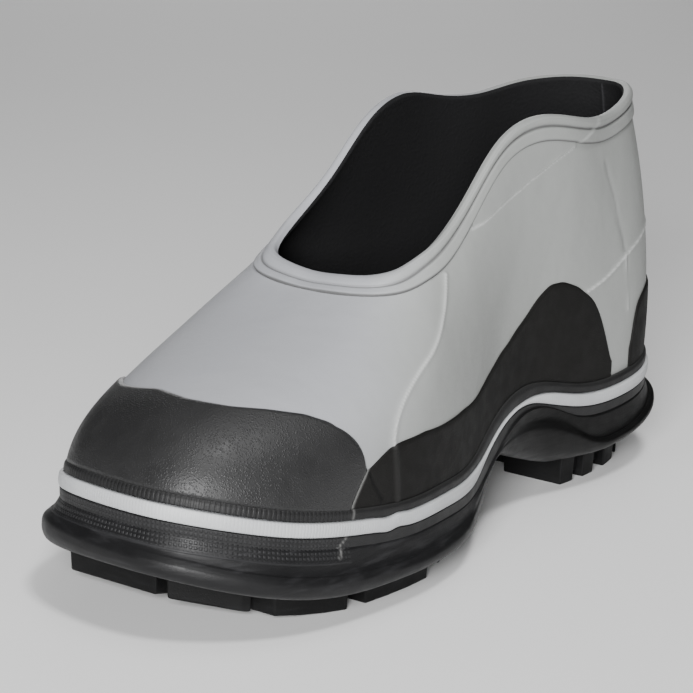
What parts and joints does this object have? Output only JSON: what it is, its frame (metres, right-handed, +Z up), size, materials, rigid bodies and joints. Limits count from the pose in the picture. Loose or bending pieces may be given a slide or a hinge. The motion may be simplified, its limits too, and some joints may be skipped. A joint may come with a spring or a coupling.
{
  "type": "dielectric overshoe",
  "caption": "Low slip-on rubber overshoe for the right foot, with a flared lugged sole, a light stripe, a toe cap and a rolled collar.",
  "frame": {"origin": "on the floor, at the middle of the shoe's box in plan", "axes": "toe towards -Y, heel towards +Y, inner (medial) side towards +X, +Z up"},
  "size_m": [0.1299, 0.3259, 0.1547],
  "materials": {
    "upper_rubber": "satin moulded rubber, mid grey",
    "stripe_rubber": "satin rubber, light grey",
    "black_rubber": "satin black rubber with a fine grain",
    "sole_rubber": "satin black moulded rubber",
    "lining_rubber": "matt black lining"
  },
  "bodies": {
    "root": {"ankle_patch_lateral": "upper_rubber", "ankle_patch_medial": "upper_rubber", "collar_band": "upper_rubber", "foxing_lower": "black_rubber", "foxing_stripe": "stripe_rubber", "foxing_upper": "black_rubber", "heel_counter": "black_rubber", "insole": "lining_rubber", "outsole": "sole_rubber", "side_panel_lateral": "black_rubber", "side_panel_medial": "black_rubber", "toe_cap": "black_rubber", "upper": "upper_rubber", "vamp_seam_lateral": "upper_rubber", "vamp_seam_medial": "upper_rubber"}
  },
  "joints": []
}
